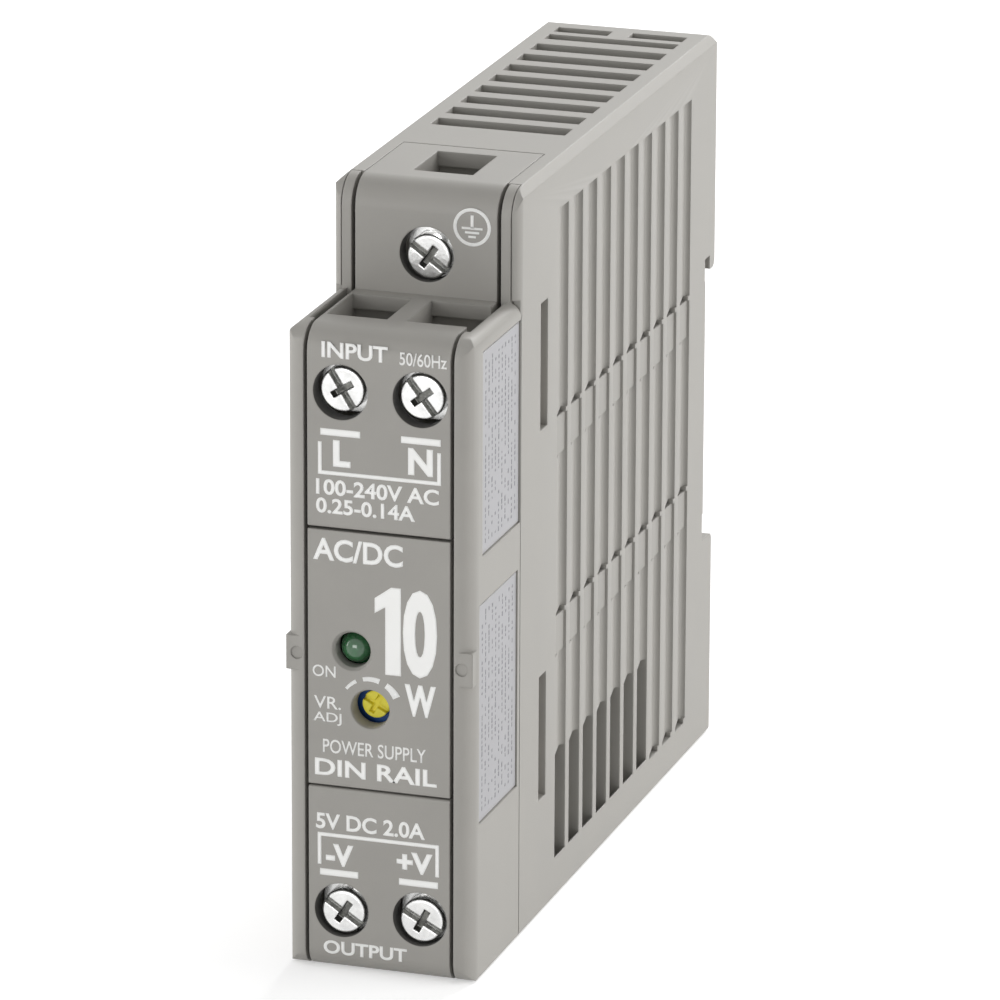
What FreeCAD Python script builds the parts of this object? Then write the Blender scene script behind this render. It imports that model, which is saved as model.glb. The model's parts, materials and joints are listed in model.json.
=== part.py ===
import FreeCAD, Part
import math
import os

os.makedirs("parts", exist_ok=True)
V = FreeCAD.Vector

# DIN rail power supply. Millimetres, +Z up. Sizes below are counted from the
# front face (depth, along +Y), the base (height, along +Z) and the middle of
# the width (X); save() moves the origin to the middle of the rail seat.

# Overall sizes
case_width = 22.5
case_height = 90.0
case_depth = 95.0

# 35 mm rail at the back
rail_height = 35.0
rail_centre_height = 44.6
rail_edge_play = 0.4
seat_to_back = 3.8
seat_land_height = 30.0
seat_relief = 0.3
rail_gap = 1.7
hook_overlap = 1.4
lower_lip_height = 26.1

# Mouldings
rear_wall = 1.9
lap_wall = 1.0
lap_roof = 1.2
lap_depth = 29.0
lap_clearance = 0.1
skirt_wall = 1.15
skirt_end_gap = 0.5
skirt_overlap = 2.5
cheek_wall = 1.7
seam_gap = 0.45
thin_seam = 0.1
cheek_front_width = 2.5
cheek_front_depth = 4.0
tie_depth = 4.4
tie_height = 2.5
tie_overlap = 0.5
floor_thickness = 1.2
panel_ledge_overlap = 0.6
panel_ledge_end = 3.0
case_seam_depth = 17.4
case_seam_gap = 0.2
part_gap = 0.3
block_wall = 2.2
panel_thickness = 2.0

# Front outline
front_edge_radius = 2.2
base_edge_radius = 2.5
ledge_edge_radius = 3.0
roof_edge_radius = 3.4
ledge_side_radius = 1.8
long_edge_chamfer = 0.95
base_side_radius = 0.4
rear_corner_radius = 1.3
rear_edge_radius = 0.6
setback_depth = 16.7
setback_height = 13.0
tongue_depth = 34.0
upper_seam_below_top = 36.6
lower_seam_height = 22.5

# Terminals
terminal_middle = 0.2
terminal_pitch = 9.5
ground_x = 0.1
input_hole_drop = 7.3
ground_hole_drop = 8.2
output_hole_height = 7.5
input_screw_offset = 0.15
ground_screw_offset = -0.45
output_screw_offset = -0.4
screw_hole_radius = 3.27
screw_radius = 1.5
screw_length = 8.2
screw_travel = 4.0
thread_clearance = 0.05
head_radius = 2.65
head_height = 2.0
head_sink = 0.6
head_slot = 0.8
head_slot_depth = 1.1
head_cross_length = 2.9
head_edge_radius = 0.35
screw_tip_chamfer = 0.4
clamp_size = 6.2
clamp_thickness = 1.0
clamp_corner_radius = 0.5
clamp_ridge_width = 0.8
clamp_ridge_height = 0.3
clamp_ridge_margin = 0.7
clamp_gap = 0.5
chamber_width = 7.2
chamber_end_depth = 15.2
chamber_margin = 1.2
chamber_floor_wall = 1.2
entry_front = 5.8
entry_back = 14.7
ledge_skin = 1.8
plate_thickness = 1.2
plate_half_height = 2.9
collar_radius = 2.3
collar_length = 1.2
strip_thickness = 0.8
strip_width = 1.8
strip_step = 3.0
strip_run_gap = 1.4
strip_board_gap = 0.15
strip_pin_inset = 2.2

# Indicator and adjuster
lamp_x = -3.24
lamp_height = 39.1
lamp_radius = 1.95
lamp_hole_radius = 2.1
lamp_rim_radius = 2.42
lamp_base_depth = 3.6
lamp_sink = 0.35
lamp_flange = 0.3
lamp_lead_spacing = 2.54
thin_lead_radius = 0.25
adjuster_x = -1.05
adjuster_height = 32.3
adjuster_hole_radius = 2.2
adjuster_rim_radius = 2.36
rotor_radius = 1.62
rotor_sink = 2.0
rotor_thickness = 1.1
rotor_gap = 0.1
rotor_slot = 0.6
rotor_slot_depth = 0.7
spindle_radius = 1.0
spindle_length = 2.0
adjuster_size = 6.2
adjuster_depth = 5.0
adjuster_lead_spacing = 4.0
rim_depth = 0.45

# Grip pads on the front edges
pad_height = 38.2
pad_length = 4.1
pad_inset = 0.05
pad_dimple_radius = 0.75
pad_dimple_from_side = 1.35
pad_dimple_depth = 0.25

# Snap windows and tabs
window_depth = 24.6
window_width = 2.7
window_length = 15.3
upper_window_height = 67.2
lower_window_height = 21.9
tab_clearance = 0.3
tab_reach = 0.75

# Side flutes and vents
flute_first = 30.95
flute_pitch = 5.48
flute_width = 4.05
flute_depth = 0.75
flute_floor_radius = 0.6
flute_end_margin = 5.2
flute_top_margin = 5.6
flute_base = 5.05
bridge_tops = (35.3, 59.7)
bridge_length = 5.3
bridge_depth = 0.3
slit_height = 0.55
slit_end_land = 0.6
slotted_flutes = 7
side_slot_top = 17.9
roof_slot_first = 42.75
roof_slot_pitch = 5.4
roof_slot_width = 3.15
roof_slot_half_length = 8.25
narrow_slot_width = 2.4
narrow_slot_gap = 2.5
rear_slot_width = 2.3
rear_slot_gap = 1.4
rear_slot_half_rib = 1.3
rear_pocket_sill = 3.5

# Labels
label_recess = 0.3
label_thickness = 0.15
label_margin = 0.2
upper_label = (3.4, 17.1, 50.8, 75.0)
lower_label = (2.4, 16.4, 18.9, 45.3)

# Rail latch
latch_width = 10.0
latch_stem_width = 7.6
latch_thickness = 3.0
latch_wing_thickness = 1.6
latch_play = 0.2
latch_nose_reach = 1.3
latch_nose_thickness = 2.0
latch_base_gap = 0.3
latch_window_width = 3.6
latch_window_low = 9.0
latch_window_high = 21.0
latch_slot_height = 2.0
latch_slot_low = 1.6
latch_slot_width = 4.0
latch_peg_height = 1.2
spring_radius = 1.15
spring_wire_radius = 0.2
spring_turns = 7
spring_end_gap = 0.1

# Circuit board and what it carries
board_thickness = 1.6
board_gap = 2.1
board_front = 19.0
board_low = 4.0
board_rear_gap = 1.2
board_shoulder = 36.5
board_shoulder_height = 72.0
board_top_gap = 2.8
board_tongue_front = 9.0
board_tongue_low = 26.5
board_tongue_high = 50.0
board_guide_wall = 1.0
board_guide_reach = 1.4
board_play = 0.15
lead_radius = 0.35
lead_hole_clearance = 0.15
lead_tail = 0.8
standoff = 0.3
shield_thickness = 0.4
shield_gap = 0.2
transformer_depths = (42.0, 59.0)
transformer_heights = (15.0, 35.0)
transformer_tall = 13.6
bobbin_inset = 3.4
bobbin_flange = 0.8
choke_ring = (43, 62, 6.2, 3.4, 6.0)
filter_ring = (28, 34.5, 4.6, 2.6, 6.0)

half_width = case_width / 2
ledge_height = case_height - setback_height
seat_depth = case_depth - seat_to_back
panel_half = half_width - cheek_front_width - seam_gap / 2
cheek_inner = half_width - cheek_front_width + seam_gap / 2
skirt_outer = half_width - lap_wall - lap_clearance
skirt_inner = skirt_outer - skirt_wall
inner_half = half_width - rear_wall
upper_seam = case_height - upper_seam_below_top
cavity_back = seat_depth - rear_wall
board_back = -inner_half + board_gap
board_face = board_back + board_thickness
plate_front = head_sink + head_height + clamp_thickness + screw_travel + clamp_gap
latch_front = seat_depth + latch_play + part_gap
latch_top = lower_lip_height

board_holes = []


def save(shape, name):
    """Write one piece with the origin at the middle of the rail seat."""
    moved = shape.copy()
    moved.translate(V(0, -seat_depth, -rail_centre_height))
    moved.exportStep("parts/" + name + ".step")


def block(x, y, z):
    """Box between three (low, high) pairs."""
    return Part.makeBox(x[1] - x[0], y[1] - y[0], z[1] - z[0], V(x[0], y[0], z[0]))


def span(middle, length):
    return (middle - length / 2, middle + length / 2)


def rod(radius, start, end):
    """Round bar from start to end."""
    return Part.makeCylinder(radius, (end - start).Length, start, end - start)


def cone(radius_start, radius_end, start, end):
    return Part.makeCone(radius_start, radius_end, (end - start).Length, start, end - start)


def rounded_wire(points):
    """Closed outline of (point, corner radius) pairs, with an arc at each radius."""
    edges = []
    ends = []
    for index, (corner, radius) in enumerate(points):
        before = (points[index - 1][0] - corner).normalize()
        after = (points[(index + 1) % len(points)][0] - corner).normalize()
        if radius == 0:
            ends.append((corner, corner))
            continue
        half_angle = before.getAngle(after) / 2
        reach = radius / math.tan(half_angle)
        start = corner + before * reach
        end = corner + after * reach
        bisector = (before + after).normalize()
        middle = corner + bisector * (radius / math.sin(half_angle) - radius)
        ends.append((start, end))
        edges.append(Part.Arc(start, middle, end).toShape())
    for index in range(len(ends)):
        start = ends[index - 1][1]
        end = ends[index][0]
        if (end - start).Length > 1e-6:
            edges.append(Part.LineSegment(start, end).toShape())
    return Part.Wire(Part.__sortEdges__(edges))


def prism(plane, outline, low, high):
    """Solid with an outline of (u, v) or (u, v, corner radius) in a plane, from low to high."""
    places = {
        "xy": lambda u, v: V(u, v, low),
        "xz": lambda u, v: V(u, low, v),
        "yz": lambda u, v: V(low, u, v),
    }
    along = {"xy": V(0, 0, high - low), "xz": V(0, high - low, 0), "yz": V(high - low, 0, 0)}
    points = [(places[plane](p[0], p[1]), p[2] if len(p) > 2 else 0) for p in outline]
    return Part.Face(rounded_wire(points)).extrude(along[plane])


def mirrored(shape):
    """The same shape on the other side of the width."""
    return shape.mirror(V(0, 0, 0), V(1, 0, 0))


def both_sides(shapes):
    return shapes + [mirrored(shape) for shape in shapes]


def joined(shapes):
    return shapes[0].fuse(shapes[1:]).removeSplitter()


# --- Rear case ---------------------------------------------------------------


def rear_outline():
    """Side view of the rear case, with the rail notch and the hook above it."""
    land_low = rail_centre_height - seat_land_height / 2
    land_high = rail_centre_height + seat_land_height / 2
    rail_top = rail_centre_height + rail_height / 2 + rail_edge_play
    relief = seat_depth - seat_relief
    return [
        (case_seam_depth, 0),
        (case_depth, 0, rear_edge_radius),
        (case_depth, lower_lip_height, 0.8),
        (relief, lower_lip_height),
        (relief, land_low),
        (seat_depth, land_low),
        (seat_depth, land_high),
        (relief, land_high),
        (relief, rail_top),
        (seat_depth + rail_gap, rail_top),
        (seat_depth + rail_gap, rail_top - hook_overlap - rail_edge_play, 0.3),
        (case_depth, rail_top - hook_overlap - rail_edge_play, 0.9),
        (case_depth, case_height, rear_edge_radius),
        (setback_depth, case_height, roof_edge_radius),
        (setback_depth, ledge_height + case_seam_gap),
        (case_seam_depth, ledge_height + case_seam_gap),
    ]


def end_view():
    """Front view of the case, with its long top edges chamfered."""
    chamfer = long_edge_chamfer
    return [
        (-half_width, 0, base_side_radius),
        (half_width, 0, base_side_radius),
        (half_width, case_height - chamfer),
        (half_width - chamfer, case_height),
        (chamfer - half_width, case_height),
        (-half_width, case_height - chamfer),
    ]


def rear_shell():
    """Outer body of the rear case, hollow, with its front corners rounded above the ledge."""
    shell = prism("yz", rear_outline(), -half_width, half_width)
    shell = shell.common(prism("xz", end_view(), 0, case_depth))
    corner_x = half_width - rear_corner_radius
    corner_depth = setback_depth + rear_corner_radius
    corner = prism("xy", [
        (corner_x, setback_depth),
        (half_width, setback_depth),
        (half_width, corner_depth),
    ], ledge_height - ledge_side_radius, case_height)
    rounding = rod(rear_corner_radius, V(corner_x, corner_depth, 0), V(corner_x, corner_depth, case_height))
    edge = corner.cut(rounding)
    hollow = [
        block((-inner_half, inner_half), (0, cavity_back), (rear_wall, case_height - rear_wall)),
        block((-inner_half, inner_half), (0, case_depth - rear_wall),
              (rail_centre_height + rail_height / 2 + rear_pocket_sill, case_height - rear_wall)),
        block(span(0, 2 * (half_width - lap_wall)), (0, lap_depth),
              (lap_wall, case_height - lap_roof)),
        block(span(0, 2 * (half_width - lap_wall)), (0, setback_depth + roof_edge_radius + part_gap),
              (ledge_height, case_height + 1)),
        block(span(0, 2 * (panel_half + thin_seam)), (0, tongue_depth + thin_seam),
              (ledge_height, case_height + 1)),
    ]
    return shell.cut(both_sides([edge]) + hollow)


def flute_profile(front):
    """Scooped saw-tooth groove seen from above, on the right-hand side."""
    floor = half_width - flute_depth
    back = front + flute_width
    return [
        (half_width + 0.5, front),
        (half_width, front),
        (floor, back, flute_floor_radius),
        (half_width, back),
        (half_width + 0.5, back),
    ]


def flute_cutters(index):
    """Grooves, shallow bridges, slits and vent slot of one flute on the right-hand side."""
    front = flute_first + index * flute_pitch
    back = front + flute_width
    tier_lows = (flute_base,) + bridge_tops
    tier_highs = tuple(top - bridge_length for top in bridge_tops) + (case_height - flute_top_margin,)
    cutters = []
    for low, high in zip(tier_lows, tier_highs):
        cutters.append(prism("xy", flute_profile(front), low, high))
        if low == flute_base and index < slotted_flutes:
            continue
        slit_back = half_width - rear_wall - 0.1
        cutters.append(block((slit_back, half_width + 0.5), (front, back - slit_end_land),
                             (low - slit_height, low)))
    for top in bridge_tops:
        cutters.append(block((half_width - bridge_depth, half_width + 0.5), (front, back),
                             (top - bridge_length, top - slit_height)))
    if index < slotted_flutes:
        slope = rear_wall + 0.3
        cutters.append(prism("xz", [
            (half_width + 0.5, flute_base),
            (half_width, flute_base),
            (half_width - slope, flute_base - slope),
            (half_width - slope, side_slot_top),
            (half_width + 0.5, side_slot_top),
        ], front, back))
    return cutters


def side_cutters():
    """All flutes on both sides; their number follows the depth of the case."""
    room = seat_depth - flute_end_margin - flute_first
    count = int(room // flute_pitch)
    cutters = []
    for index in range(count):
        cutters += flute_cutters(index)
    return both_sides(cutters)


def roof_slots():
    """Full-width vent slots as (front, back) depths, the last one narrow."""
    last_start = seat_depth - narrow_slot_width - narrow_slot_gap - roof_slot_width
    count = 1 + int((last_start - roof_slot_first) // roof_slot_pitch)
    slots = []
    for index in range(count):
        front = roof_slot_first + index * roof_slot_pitch
        slots.append((front, front + roof_slot_width))
    narrow = slots[-1][1] + narrow_slot_gap
    slots.append((narrow, narrow + narrow_slot_width))
    return slots


def vent_cutters():
    """Slots through the roof and the base, and two short ones over the hook."""
    length = (-roof_slot_half_length, roof_slot_half_length)
    roof = (case_height - rear_wall - 0.2, case_height + 0.5)
    base = (-0.5, rear_wall + 0.2)
    cutters = []
    for depths in roof_slots():
        cutters.append(block(length, depths, roof))
        cutters.append(block(length, depths, base))
    front = roof_slots()[-1][1] + rear_slot_gap
    short = block((rear_slot_half_rib, roof_slot_half_length), (front, front + rear_slot_width), roof)
    return cutters + both_sides([short])


def window_cutters():
    """Windows in both side walls that the front case's tabs snap into."""
    cutters = []
    for height in (lower_window_height, upper_window_height):
        cutters.append(block((half_width - lap_wall - 0.5, half_width + 0.5),
                             (window_depth, window_depth + window_width), span(height, window_length)))
    return both_sides(cutters)


def latch_channel():
    """T-shaped channel that the rail latch slides in, open at the top and the base."""
    wing = block(span(0, latch_width + 2 * latch_play),
                 (latch_front - latch_play, latch_front + latch_wing_thickness + latch_play),
                 (-1, lower_lip_height + 1))
    stem = block(span(0, latch_stem_width + 2 * latch_play),
                 (latch_front - latch_play, case_depth + 1), (-1, lower_lip_height + 1))
    return wing.fuse(stem)


def spring_peg():
    """Peg in the latch channel that carries the spring."""
    width = latch_window_width - 2 * latch_play
    return block(span(0, width), (latch_front - latch_play, latch_front + latch_thickness),
                 (latch_window_low + latch_play, latch_window_low + latch_play + latch_peg_height))


def board_guides():
    """Pairs of ribs on the roof and the floor that hold the board's edges."""
    slots = roof_slots()
    front = (board_shoulder + 0.5, slots[0][0] - 0.8)
    back = (slots[-2][1] + 0.3, slots[-1][0] - 0.3)
    board_top = case_height - rear_wall - board_top_gap
    ribs = []
    for depths in (front, back):
        for x in (board_back - board_play - board_guide_wall, board_face + board_play):
            width = (x, x + board_guide_wall)
            ribs.append(block(width, depths, (rear_wall, board_low + board_guide_reach)))
            ribs.append(block(width, depths, (board_top - board_guide_reach, case_height - rear_wall)))
    return ribs


def rear_case():
    cutters = side_cutters() + vent_cutters() + window_cutters() + [latch_channel()]
    shell = rear_shell().cut(cutters)
    return joined([shell, spring_peg()] + board_guides())


# --- Front case --------------------------------------------------------------


def cheek_shell():
    """The two rounded side cheeks that frame the front, from the base to the ledge."""
    depth = case_seam_depth - case_seam_gap
    plan = prism("xy", [
        (-half_width, 0, front_edge_radius),
        (half_width, 0, front_edge_radius),
        (half_width, depth),
        (-half_width, depth),
    ], 0, ledge_height)
    side = prism("yz", [
        (0, 0, base_edge_radius),
        (0, ledge_height, ledge_edge_radius),
        (depth, ledge_height),
        (depth, 0),
    ], -half_width, half_width)
    front = prism("xz", [
        (-half_width, 0, base_side_radius),
        (half_width, 0, base_side_radius),
        (half_width, ledge_height, ledge_side_radius),
        (-half_width, ledge_height, ledge_side_radius),
    ], 0, depth)
    pad = block((half_width - front_edge_radius, half_width - pad_inset), (pad_inset, front_edge_radius),
                span(pad_height, pad_length))
    shell = plan.common(side).common(front).fuse(both_sides([pad]))
    wide = half_width - cheek_wall
    return shell.cut([
        block((-cheek_inner, cheek_inner), (-1, depth + 1), (-1, case_height)),
        block((-wide, wide), (cheek_front_depth, depth + 1), (-1, case_height)),
    ])


def skirt():
    """Right-hand skirt that slides into the rear case and shows beside the ground terminal."""
    end = lap_depth - skirt_end_gap
    roof = case_height - lap_roof - lap_clearance
    outline = [
        (case_seam_depth - skirt_overlap, lap_wall + lap_clearance),
        (end, lap_wall + lap_clearance),
        (end, roof),
        (setback_depth + roof_edge_radius + 0.1, roof),
        (setback_depth + roof_edge_radius + 0.1, case_height),
        (setback_depth, case_height, roof_edge_radius),
        (setback_depth, ledge_height - 1),
        (case_seam_depth - skirt_overlap, ledge_height - 1),
    ]
    return prism("yz", outline, skirt_inner, skirt_outer)


def snap_tab(height):
    """Tab on the right-hand skirt with a sloped back."""
    front = window_depth + tab_clearance
    outline = [
        (skirt_outer - 0.2, front),
        (skirt_outer + tab_reach, front),
        (skirt_outer + tab_reach, front + 0.5),
        (skirt_outer - 0.2, front + 0.5 + tab_reach),
    ]
    low, high = span(height, window_length - 2 * tab_clearance)
    return prism("xy", outline, low, high)


def cross_members():
    """Floor and two ties that join the cheeks behind the front panels."""
    wide = half_width - cheek_wall + 0.2
    tie_depths = (case_seam_depth - tie_depth, case_seam_depth - case_seam_gap)
    floor_low = lap_wall + lap_clearance
    floor = block((-skirt_outer, skirt_outer), (case_seam_depth, lap_depth - skirt_end_gap),
                  (floor_low, floor_low + floor_thickness))
    upper_low = upper_seam + tie_overlap - tie_height
    upper = block((-wide, wide), tie_depths, (upper_low, upper_low + tie_height))
    lower_low = lower_seam_height - tie_overlap
    lower = block((-wide, wide), tie_depths, (lower_low, lower_low + tie_height))
    return [floor, upper, lower]


def panel_ledges():
    """Ledges on both cheeks that the name panel rests against."""
    depths = (panel_thickness, cheek_front_depth)
    ledge = block((panel_half - panel_ledge_overlap, cheek_inner + 0.1), depths,
                  (lower_seam_height + panel_ledge_end, upper_seam - panel_ledge_end))
    return both_sides([ledge])


def dimples():
    """Shallow round dimples in the pads on the front edges."""
    x = half_width - pad_dimple_from_side
    dimple = rod(pad_dimple_radius, V(x, -0.5, pad_height), V(x, pad_dimple_depth, pad_height))
    return both_sides([dimple])


def label_pocket(area):
    """Recess in the right-hand cheek for a label."""
    return block((half_width - label_recess, half_width + 1), (area[0], area[1]), (area[2], area[3]))


def front_case():
    tabs = [snap_tab(lower_window_height), snap_tab(upper_window_height)]
    solid = joined([cheek_shell()] + both_sides([skirt()] + tabs) + cross_members() + panel_ledges())
    return solid.cut(dimples() + [label_pocket(upper_label), label_pocket(lower_label)])


def label(area):
    """Thin label in its recess, with a small margin round it."""
    inner = half_width - label_recess
    return block((inner, inner + label_thickness), (area[0] + label_margin, area[1] - label_margin),
                 (area[2] + label_margin, area[3] - label_margin))


# --- Terminals ---------------------------------------------------------------


def terminal(name, x, face, hole, offset, entry, turn):
    """One terminal: its place, its wire from above (1) or below (-1), and its screw's turn in degrees."""
    axis = hole + offset
    return {"name": name, "x": x, "face": face, "hole": hole, "axis": axis, "entry": entry, "turn": turn}


def terminal_places():
    left = terminal_middle - terminal_pitch / 2
    right = terminal_middle + terminal_pitch / 2
    input_hole = ledge_height - input_hole_drop
    ground_hole = case_height - ground_hole_drop
    return [
        terminal("ground", ground_x, setback_depth, ground_hole, ground_screw_offset, 1, 35),
        terminal("live", left, 0, input_hole, input_screw_offset, 1, 58),
        terminal("neutral", right, 0, input_hole, input_screw_offset, 1, 52),
        terminal("minus", left, 0, output_hole_height, output_screw_offset, -1, 33),
        terminal("plus", right, 0, output_hole_height, output_screw_offset, -1, 28),
    ]


def outer_face(place):
    """Height of the face that the wire goes in through."""
    if place["entry"] < 0:
        return 0
    return case_height if place["face"] > 0 else ledge_height


def chamber(place):
    """Screw hole, clamp chamber and wire entry of one terminal."""
    face = place["face"]
    width = span(place["x"], chamber_width)
    edge = outer_face(place)
    skin = edge - place["entry"] * ledge_skin
    far = place["axis"] - place["entry"] * (clamp_size / 2 + chamber_margin)
    inside = block(width, (face + block_wall, face + chamber_end_depth), sorted((skin, far)))
    entry = block(width, (face + entry_front, face + entry_back), sorted((skin, edge + place["entry"])))
    hole = rod(screw_hole_radius, V(place["x"], face - 1, place["hole"]),
               V(place["x"], face + block_wall + 0.1, place["hole"]))
    return [inside, entry, hole]


def strip_floor(place):
    """Height of the run of the terminal strip, just outside the chamber's closed end."""
    return place["axis"] - place["entry"] * (clamp_size / 2 + chamber_margin + strip_run_gap)


def strip_slot(place):
    """Slot in the chamber's closed end for the strip."""
    depth = place["face"] + plate_front
    far = place["axis"] - place["entry"] * (clamp_size / 2 + chamber_margin)
    past = far - place["entry"] * (strip_run_gap + 3)
    return block(span(place["x"], strip_width + 0.4), (depth - 0.2, depth + plate_thickness + 0.2),
                 sorted((far + place["entry"] * 0.5, past)))


def input_terminal_block():
    """Moulding with the live, neutral and ground chambers; it steps back at the ledge."""
    rear = tongue_depth - thin_seam
    places = [p for p in terminal_places() if p["entry"] > 0]
    chamber_floor = places[1]["axis"] - clamp_size / 2 - chamber_margin
    ground_floor = places[0]["axis"] - clamp_size / 2 - chamber_margin
    outline = [
        (0, upper_seam + part_gap / 2, 0.3),
        (0, ledge_height, ledge_edge_radius),
        (setback_depth, ledge_height),
        (setback_depth, case_height, roof_edge_radius),
        (rear, case_height),
        (rear, ground_floor - chamber_floor_wall),
        (setback_depth, ground_floor - chamber_floor_wall),
        (setback_depth, chamber_floor - chamber_floor_wall),
        (panel_thickness, chamber_floor - chamber_floor_wall),
        (panel_thickness, upper_seam + part_gap / 2),
    ]
    solid = prism("yz", outline, -panel_half, panel_half)
    cutters = []
    for place in places:
        cutters += chamber(place)
        cutters.append(strip_slot(place))
    return solid.cut(cutters)


def output_terminal_block():
    """Moulding with the two output chambers, open at the base."""
    places = [p for p in terminal_places() if p["entry"] < 0]
    ceiling = places[0]["axis"] + clamp_size / 2 + chamber_margin + chamber_floor_wall
    rear = case_seam_depth - case_seam_gap
    outline = [
        (0, 0, base_edge_radius),
        (0, lower_seam_height - part_gap / 2, 0.3),
        (panel_thickness, lower_seam_height - part_gap / 2),
        (panel_thickness, ceiling),
        (rear, ceiling),
        (rear, 0),
    ]
    solid = prism("yz", outline, -panel_half, panel_half)
    cutters = []
    for place in places:
        cutters += chamber(place)
        cutters.append(strip_slot(place))
    return solid.cut(cutters)


def name_panel():
    """Flat panel between the two terminal blocks, with the lamp and adjuster holes."""
    solid = block((-panel_half, panel_half), (0, panel_thickness),
                  (lower_seam_height + part_gap / 2, upper_seam - part_gap / 2))
    cutters = []
    for x, height, hole, rim in (
        (lamp_x, lamp_height, lamp_hole_radius, lamp_rim_radius),
        (adjuster_x, adjuster_height, adjuster_hole_radius, adjuster_rim_radius),
    ):
        cutters.append(rod(hole, V(x, -1, height), V(x, panel_thickness + 1, height)))
        cutters.append(cone(rim, hole, V(x, 0, height), V(x, rim_depth, height)))
    return solid.cut(cutters)


def terminal_screw(place):
    """Captive screw with a cross recess and a slot, loosened as it is delivered."""
    x = place["x"]
    z = place["axis"]
    top = place["face"] + head_sink
    under = top + head_height
    head = rod(head_radius, V(x, top, z), V(x, under, z))
    rim = [edge for edge in head.Edges if abs(edge.BoundBox.YMax - top) < 1e-6]
    head = head.makeFillet(head_edge_radius, rim)
    shank = rod(screw_radius - thread_clearance, V(x, under, z), V(x, under + screw_length, z))
    end = [edge for edge in shank.Edges if abs(edge.BoundBox.YMin - under - screw_length) < 1e-6]
    tip = shank.makeChamfer(screw_tip_chamfer, end)
    slot = block(span(x, 2 * head_radius + 1), (top - 1, top + head_slot_depth), span(z, head_slot))
    cross = block(span(x, head_slot), (top - 1, top + head_slot_depth + 0.3), span(z, head_cross_length))
    recess = slot.fuse(cross)
    recess.rotate(V(x, 0, z), V(0, 1, 0), place["turn"])
    return head.fuse(tip).cut(recess)


def clamp_washer(place):
    """Square washer that the screw draws down on the wire."""
    front = place["face"] + head_sink + head_height
    half = clamp_size / 2
    x = place["x"]
    z = place["axis"]
    back = front + clamp_thickness
    plate = prism("xz", [
        (x - half, z - half, clamp_corner_radius),
        (x + half, z - half, clamp_corner_radius),
        (x + half, z + half, clamp_corner_radius),
        (x - half, z + half, clamp_corner_radius),
    ], front, back)
    ridge = block(span(x, clamp_ridge_width), (back - 0.1, back + clamp_ridge_height),
                  span(z, clamp_size - 2 * clamp_ridge_margin))
    hole = rod(screw_radius + thread_clearance, V(x, front - 1, z), V(x, back + 2, z))
    return plate.fuse(ridge).cut(hole)


def contact_strip(place):
    """Tapped plate with a strip that runs back and turns into the board."""
    x = place["x"]
    z = place["axis"]
    entry = place["entry"]
    front = place["face"] + plate_front
    back = front + plate_thickness
    run = strip_floor(place)
    pin_depth = max(board_front, place["face"]) + strip_pin_inset
    if x > terminal_middle:
        pin_depth += strip_step
    plate = block(span(x, clamp_size), (front, back), span(z, 2 * plate_half_height))
    collar = rod(collar_radius, V(x, back - 0.1, z), V(x, back + collar_length, z))
    width = (max(x - strip_width / 2, board_face + strip_board_gap), x + strip_width / 2)
    leg = block(width, (front, back), sorted((z, run - entry * strip_thickness)))
    low = sorted((run, run - entry * strip_thickness))
    rearward = block(width, sorted((front, pin_depth + strip_width / 2)), low)
    across = block(sorted((width[1], board_face + standoff)), span(pin_depth, strip_width), low)
    middle = (low[0] + low[1]) / 2
    pin = rod(lead_radius, V(board_face + standoff + 0.2, pin_depth, middle),
              V(board_back - lead_tail, pin_depth, middle))
    board_holes.append((pin_depth, middle))
    hole = rod(screw_radius, V(x, front - 1, z), V(x, back + collar_length + 1, z))
    return joined([plate, collar, leg, rearward, across, pin]).cut(hole)


# --- Indicator lamp and voltage adjuster --------------------------------------


def lead(depth, height, start):
    """Wire lead from start through the board, whose hole is noted for drilling."""
    board_holes.append((depth, height))
    return rod(lead_radius, V(start, depth, height), V(board_back - lead_tail, depth, height))


def bent_lead(x, front, back, height):
    """Thin lead that runs back from front and then turns into the board."""
    board_holes.append((back, height))
    corner = V(x, back, height)
    return [
        rod(thin_lead_radius, V(x, front, height), corner),
        Part.makeSphere(thin_lead_radius, corner),
        rod(thin_lead_radius, corner, V(board_back - lead_tail, back, height)),
    ]


def lamp():
    """Light-emitting diode with a domed lens, its leads bent back to the board."""
    base = lamp_base_depth
    tip = lamp_sink + lamp_radius
    barrel = rod(lamp_radius, V(lamp_x, tip, lamp_height), V(lamp_x, base, lamp_height))
    dome = Part.makeSphere(lamp_radius, V(lamp_x, tip, lamp_height))
    rim = rod(lamp_radius + lamp_flange, V(lamp_x, base - 0.9, lamp_height), V(lamp_x, base, lamp_height))
    pieces = [barrel, dome, rim]
    for height in (lamp_height - lamp_lead_spacing / 2, lamp_height + lamp_lead_spacing / 2):
        pieces += bent_lead(lamp_x, base - 0.2, board_tongue_front + 3, height)
    return joined(pieces)


def adjuster_body():
    """Square trimming resistor that carries the rotor, seated on the board's tongue."""
    front = rotor_sink + rotor_thickness + rotor_gap
    middle = span(adjuster_height, adjuster_size)
    body = block(span(adjuster_x, adjuster_size), (front, front + adjuster_depth), middle)
    pieces = [body]
    for height in (adjuster_height - adjuster_lead_spacing / 2, adjuster_height + adjuster_lead_spacing / 2):
        pieces += bent_lead(adjuster_x, front + adjuster_depth - 0.2, board_tongue_front + 2, height)
    bore = rod(spindle_radius + thread_clearance, V(adjuster_x, front - 1, adjuster_height),
               V(adjuster_x, front + spindle_length + 0.2, adjuster_height))
    return joined(pieces).cut(bore)


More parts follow.
